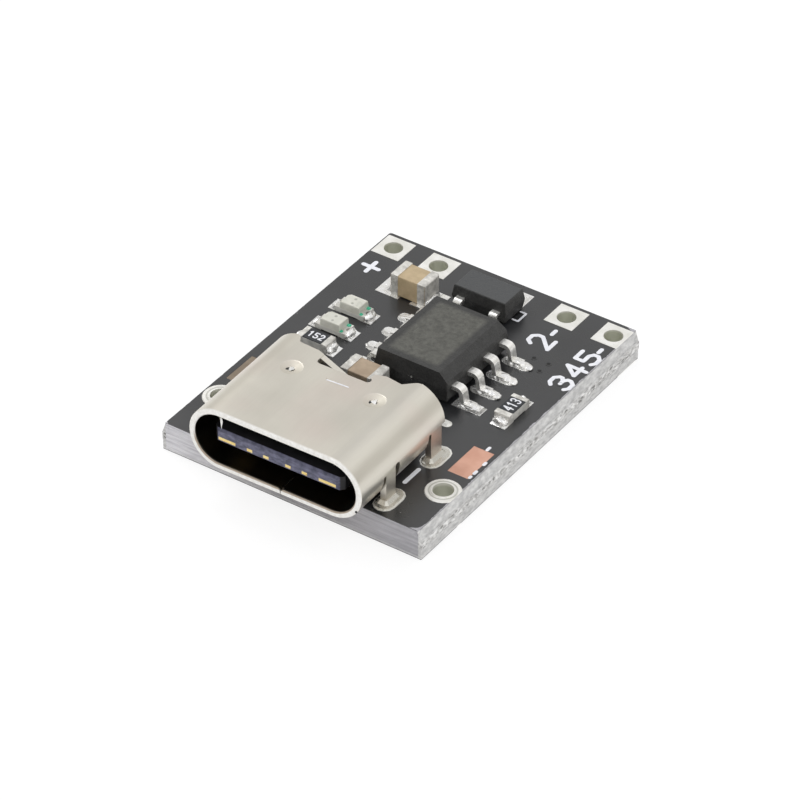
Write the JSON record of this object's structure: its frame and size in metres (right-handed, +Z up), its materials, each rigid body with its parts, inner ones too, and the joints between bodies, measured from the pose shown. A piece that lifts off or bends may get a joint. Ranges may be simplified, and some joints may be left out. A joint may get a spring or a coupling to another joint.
{
  "type": "lithium cell charger board with a charging receptacle",
  "caption": "Small black charger board with a metal charging receptacle at its front edge, plated wire holes, a charger circuit, a protection circuit and indicator lamps.",
  "frame": {"origin": "middle of the board's underside", "axes": "+Z up through the side with the parts, -Y out of the receptacle's mouth, +X to the right for a viewer who faces the mouth"},
  "size_m": [0.0138, 0.0188, 0.0047],
  "materials": {
    "glass_laminate": "pale glass fibre and resin, sawn and broken at the edges",
    "black_mask": "satin black solder mask",
    "tinned_pad": "hot tinned copper, soft sheen",
    "solder": "bright solder",
    "bare_copper": "bare copper",
    "shell_steel": "nickel plated sheet steel",
    "plate_steel": "stamped steel",
    "tongue_moulding": "black moulding",
    "contact_gold": "gold plated contact",
    "lead_tin": "tin plated lead",
    "package_black": "black moulding compound",
    "capacitor_tan": "tan ceramic",
    "capacitor_pink_tan": "pinkish tan ceramic",
    "end_cap_tin": "matt tin end cap",
    "alumina": "white ceramic",
    "resistor_coat": "black overglaze",
    "lamp_base": "pale laminate base",
    "lamp_lens": "milky clear resin"
  },
  "bodies": {
    "root": {"pcb_laminate": "glass_laminate", "solder_mask_top": "black_mask", "solder_mask_bottom": "black_mask", "copper_land_left": "bare_copper", "copper_land_right": "bare_copper", "spare_tinned_land": "tinned_pad", "test_tinned_land": "tinned_pad", "receptacle_shell": "shell_steel", "tongue_plate": "plate_steel", "receptacle_insulator": "tongue_moulding", "tail_solder": "solder", "charger_leads_left": "lead_tin", "charger_leads_right": "lead_tin", "charger_body": "package_black", "charger_solder": "solder", "protection_leads": "lead_tin", "protection_body": "package_black", "protection_solder": "solder", "cell_capacitor_ceramic": "capacitor_tan", "cell_capacitor_end_caps": "end_cap_tin", "cell_capacitor_solder": "solder", "input_capacitor_ceramic": "capacitor_pink_tan", "input_capacitor_end_caps": "end_cap_tin", "input_capacitor_solder": "solder", "lamp_solder": "solder", "out_plus_pad": "tinned_pad", "cell_plus_pad": "tinned_pad", "cell_minus_pad": "tinned_pad", "out_minus_pad": "tinned_pad", "input_pad_left": "tinned_pad", "input_pad_right": "tinned_pad", "leg_slot_front_left": "tinned_pad", "leg_solder_front_left": "solder", "leg_slot_front_right": "tinned_pad", "leg_solder_front_right": "solder", "leg_slot_rear_left": "tinned_pad", "leg_solder_rear_left": "solder", "leg_slot_rear_right": "tinned_pad", "leg_solder_rear_right": "solder", "contact_ground_left": "contact_gold", "contact_ground_right": "contact_gold", "contact_power_left": "contact_gold", "contact_power_right": "contact_gold", "contact_signal_left": "contact_gold", "contact_signal_right": "contact_gold", "lamp_resistor_ceramic": "alumina", "lamp_resistor_coat": "resistor_coat", "lamp_resistor_end_caps": "end_cap_tin", "lamp_resistor_solder": "solder", "current_resistor_ceramic": "alumina", "current_resistor_coat": "resistor_coat", "current_resistor_end_caps": "end_cap_tin", "current_resistor_solder": "solder", "charge_lamp_base": "lamp_base", "charge_lamp_terminals": "end_cap_tin", "charge_lamp_lens": "lamp_lens", "full_lamp_base": "lamp_base", "full_lamp_terminals": "end_cap_tin", "full_lamp_lens": "lamp_lens"}
  },
  "joints": []
}
